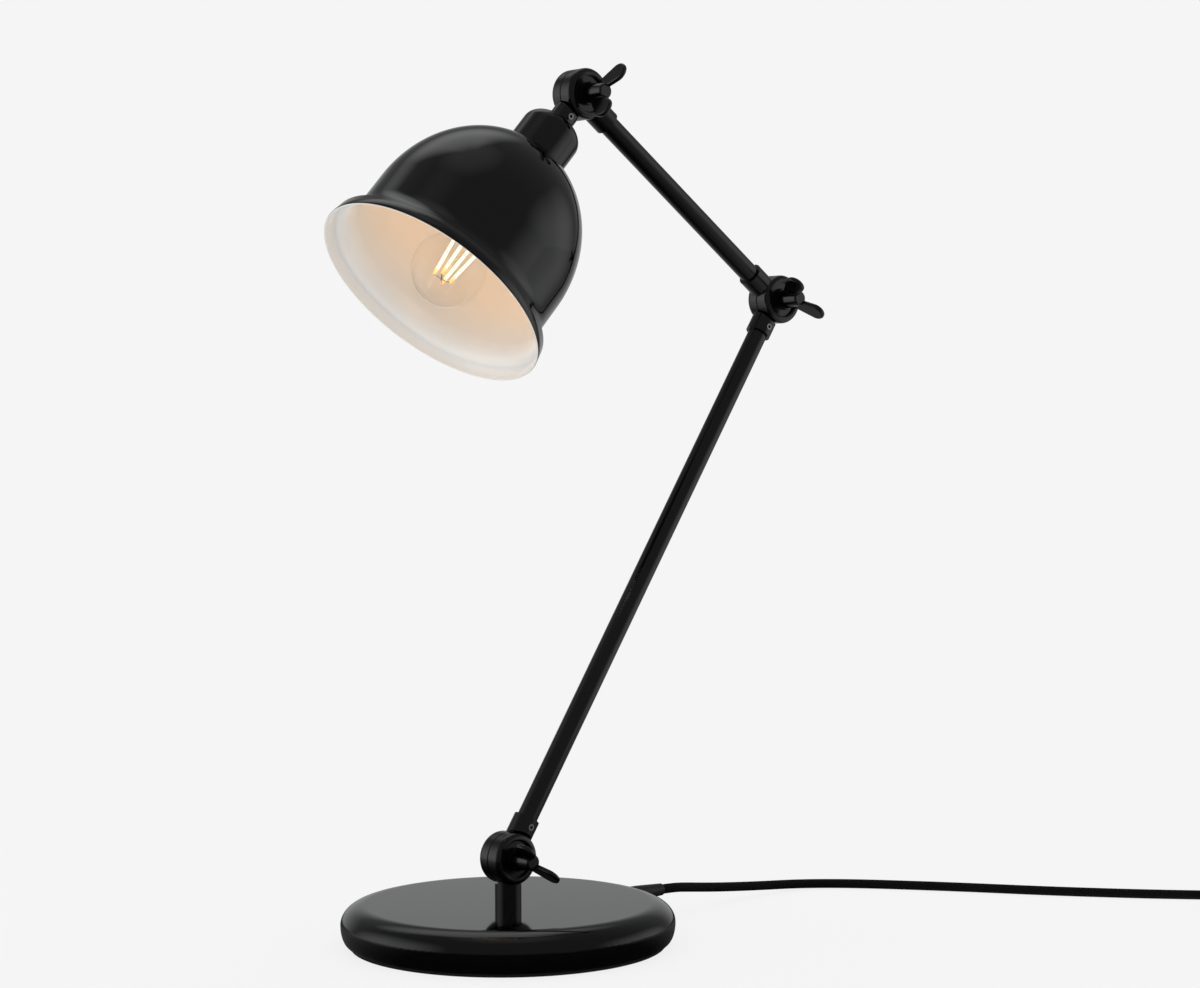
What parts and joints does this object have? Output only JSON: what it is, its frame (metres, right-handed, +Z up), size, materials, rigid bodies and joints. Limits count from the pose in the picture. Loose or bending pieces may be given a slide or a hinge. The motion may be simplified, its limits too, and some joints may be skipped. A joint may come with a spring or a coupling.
{
  "type": "articulated desk lamp",
  "caption": "Desk lamp with a round weighted base, two tube arms on wing-nut knuckles, a tilting bell shade, a globe bulb and a textile mains cord.",
  "frame": {"origin": "centre of the underside of the base, on the table", "axes": "+Z up; the arms fold in the XZ plane, the lower arm leans to +X and the shade hangs on the -X side; the wing nuts face -Y"},
  "size_m": [0.59, 0.4875, 0.5266],
  "materials": {
    "black_lacquer": "gloss",
    "black_satin": "satin",
    "enamel": "gloss",
    "iron": "matte",
    "bright_steel": "satin",
    "zinc_steel": "satin",
    "pad_rubber": "matte",
    "fibre": "matte",
    "black_plastic": "matte",
    "white_plastic": "satin",
    "core_insulation": "satin",
    "textile_cord": "matte",
    "brass": "polished",
    "ceramic": "satin",
    "clear_glass": "gloss",
    "filament": "matte"
  },
  "bodies": {
    "base": {"base_cover": "black_lacquer", "base_lead": "textile_cord", "base_lock_nut": "zinc_steel", "base_lock_washer": "zinc_steel", "base_nipple": "zinc_steel", "base_nut_washer": "black_satin", "base_pad": "pad_rubber", "base_plate": "zinc_steel", "base_plate_screws": "zinc_steel", "base_post": "black_satin", "base_post_set_screw": "bright_steel", "base_terminals": "white_plastic", "base_weight": "iron", "cord_coil": "textile_cord", "cord_strain_relief": "black_plastic", "cord_tube": "textile_cord", "plug_body": "black_plastic", "plug_pins": "brass"},
    "lower_arm": {"lower_arm_leads": "core_insulation", "lower_arm_lower_knuckle": "black_satin", "lower_arm_set_screws": "bright_steel", "lower_arm_tube": "black_satin", "lower_arm_upper_knuckle": "black_satin", "base_pivot_bolt": "zinc_steel", "elbow_pivot_bolt": "zinc_steel", "base_friction_washer": "fibre", "elbow_friction_washer": "fibre"},
    "upper_arm": {"upper_arm_leads": "core_insulation", "upper_arm_lower_knuckle": "black_satin", "upper_arm_set_screws": "bright_steel", "upper_arm_tube": "black_satin", "upper_arm_upper_knuckle": "black_satin", "elbow_nut_washer": "black_satin", "head_nut_washer": "black_satin"},
    "head": {"bulb_cap": "bright_steel", "bulb_filament_wires": "zinc_steel", "bulb_filaments": "filament", "bulb_glass": "clear_glass", "bulb_stem": "clear_glass", "holder_body": "black_plastic", "holder_cap": "black_plastic", "holder_contact": "brass", "holder_core": "ceramic", "holder_screw_shell": "brass", "neck_knuckle": "black_satin", "neck_nipple": "zinc_steel", "neck_set_screw": "bright_steel", "shade": "enamel", "shade_cup": "black_lacquer", "head_leads": "core_insulation", "head_pivot_bolt": "zinc_steel", "head_friction_washer": "fibre"},
    "base_nut": {"base_wing_nut": "black_satin"},
    "elbow_nut": {"elbow_wing_nut": "black_satin"},
    "head_nut": {"head_wing_nut": "black_satin"}
  },
  "joints": [
    {"name": "base_tilt", "type": "hinge", "parent": "base", "child": "lower_arm", "pos_m": [0, 0, 0.0517], "axis": [0, 1, 0], "range_deg": [-40, 20]},
    {"name": "elbow_tilt", "type": "hinge", "parent": "lower_arm", "child": "upper_arm", "pos_m": [0.22063, 0, 0.39014], "axis": [0, 1, 0], "range_deg": [-25, 60]},
    {"name": "head_tilt", "type": "hinge", "parent": "upper_arm", "child": "head", "pos_m": [0.05804, 0, 0.51001], "axis": [0, 1, 0], "range_deg": [-30, 60]},
    {"name": "base_nut_turn", "type": "hinge", "parent": "lower_arm", "child": "base_nut", "pos_m": [0, 0, 0.0517], "axis": [0, -1, 0], "range_deg": [0, 180]},
    {"name": "elbow_nut_turn", "type": "hinge", "parent": "lower_arm", "child": "elbow_nut", "pos_m": [0.22063, 0, 0.39014], "axis": [0, -1, 0], "range_deg": [0, 180]},
    {"name": "head_nut_turn", "type": "hinge", "parent": "head", "child": "head_nut", "pos_m": [0.05804, 0, 0.51001], "axis": [0, -1, 0], "range_deg": [0, 180]}
  ]
}
